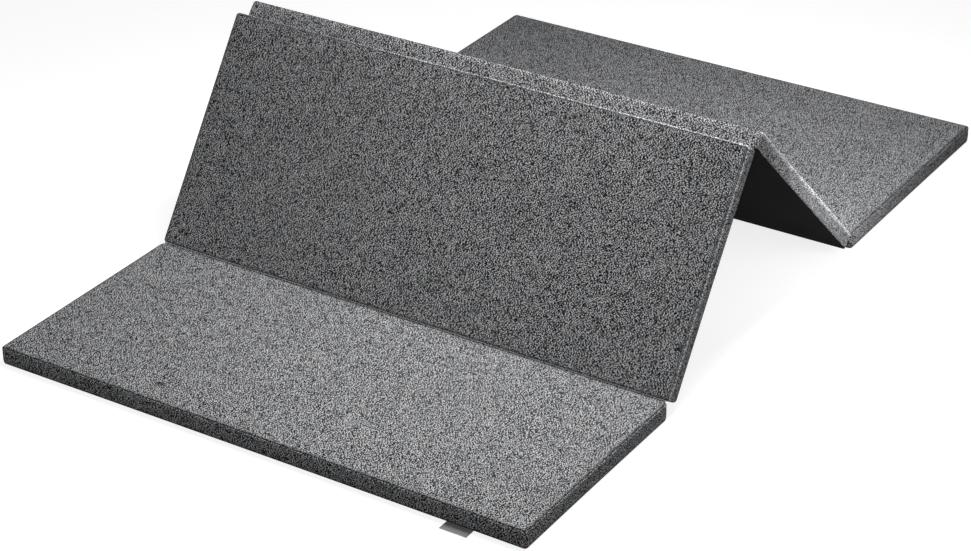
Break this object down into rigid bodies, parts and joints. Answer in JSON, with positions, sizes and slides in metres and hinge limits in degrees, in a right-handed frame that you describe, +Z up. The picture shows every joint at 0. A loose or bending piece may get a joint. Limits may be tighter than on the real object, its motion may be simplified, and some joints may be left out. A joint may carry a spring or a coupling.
{
  "type": "folding campervan mattress",
  "caption": "Zig-zag folding foam mattress for a campervan bed, grey melange top and black underside, with zipped covers and sewn folds.",
  "frame": {"origin": "middle of the half-folded mattress's outline, on the floor that it rests on", "axes": "+X across the width to the mattress's right, +Y along the mattress from the front panel to the back panel, +Z up"},
  "size_m": [1.105, 1.7492, 0.4148],
  "materials": {
    "melange_cloth": "matte",
    "base_cloth": "matte",
    "foam": "matte",
    "fold_tape": "matte",
    "zip_coil": "satin",
    "zip_metal": "satin",
    "woven_label": "matte"
  },
  "bodies": {
    "panel_1": {"foam_core_1": "foam", "top_cloth_1": "melange_cloth", "border_1": "melange_cloth", "base_cloth_1": "base_cloth", "zip_chain_1": "zip_coil", "fold_tape_1": "fold_tape", "sewn_label": "woven_label"},
    "slider_1": {"zip_slider_1": "zip_metal"},
    "puller_1": {"zip_puller_1": "zip_metal"},
    "panel_2": {"foam_core_2": "foam", "top_cloth_2": "melange_cloth", "border_2": "melange_cloth", "base_cloth_2": "base_cloth", "zip_chain_2": "zip_coil", "fold_tape_2": "fold_tape"},
    "slider_2": {"zip_slider_2": "zip_metal"},
    "puller_2": {"zip_puller_2": "zip_metal"},
    "panel_3": {"foam_core_3": "foam", "top_cloth_3": "melange_cloth", "border_3": "melange_cloth", "base_cloth_3": "base_cloth", "zip_chain_3": "zip_coil", "fold_tape_3": "fold_tape"},
    "slider_3": {"zip_slider_3": "zip_metal"},
    "puller_3": {"zip_puller_3": "zip_metal"},
    "panel_4": {"foam_core_4": "foam", "top_cloth_4": "melange_cloth", "border_4": "melange_cloth", "base_cloth_4": "base_cloth", "zip_chain_4": "zip_coil"},
    "slider_4": {"zip_slider_4": "zip_metal"},
    "puller_4": {"zip_puller_4": "zip_metal"}
  },
  "joints": [
    {"name": "fold_1", "type": "hinge", "parent": "panel_1", "child": "panel_2", "pos_m": [0.0025, -0.39191, 0.0343], "axis": [1, 0, 0], "range_deg": [-54.8, 121.2], "deforming": ["fold_tape_1"]},
    {"name": "fold_2", "type": "hinge", "parent": "panel_2", "child": "panel_3", "pos_m": [0.0025, -0.09767, 0.39139], "axis": [1, 0, 0], "range_deg": [-81.34, 98.65], "deforming": ["fold_tape_2"]},
    {"name": "fold_3", "type": "hinge", "parent": "panel_3", "child": "panel_4", "pos_m": [0.0025, 0.32391, 0.0343], "axis": [1, 0, 0], "range_deg": [-43.85, 133.14], "deforming": ["fold_tape_3"]},
    {"name": "zip_slide_1", "type": "slide", "parent": "panel_1", "child": "slider_1", "axis": [0, 1, 0], "range_m": [0, 0.354]},
    {"name": "puller_pin_1", "type": "hinge", "parent": "slider_1", "child": "puller_1", "pos_m": [-0.5511, -0.79961, 0.01645], "axis": [0, 0, -1], "range_deg": [0, 180]},
    {"name": "zip_slide_2", "type": "slide", "parent": "panel_2", "child": "slider_2", "axis": [0, 0.5764, 0.8171], "range_m": [0, 0.354]},
    {"name": "puller_pin_2", "type": "hinge", "parent": "slider_2", "child": "puller_2", "pos_m": [-0.5511, -0.34637, 0.06789], "axis": [0, 0.8171, -0.5764], "range_deg": [0, 180]},
    {"name": "zip_slide_3", "type": "slide", "parent": "panel_3", "child": "slider_3", "axis": [0, -0.7211, 0.6928], "range_m": [0, 0.444]},
    {"name": "puller_pin_3", "type": "hinge", "parent": "slider_3", "child": "puller_3", "pos_m": [-0.5511, 0.27282, 0.05863], "axis": [0, 0.6928, 0.7211], "range_deg": [0, 180]},
    {"name": "zip_slide_4", "type": "slide", "parent": "panel_4", "child": "slider_4", "axis": [0, -1, 0], "range_m": [0, 0.444]},
    {"name": "puller_pin_4", "type": "hinge", "parent": "slider_4", "child": "puller_4", "pos_m": [-0.5511, 0.82161, 0.01645], "axis": [0, 0, 1], "range_deg": [0, 180]}
  ]
}
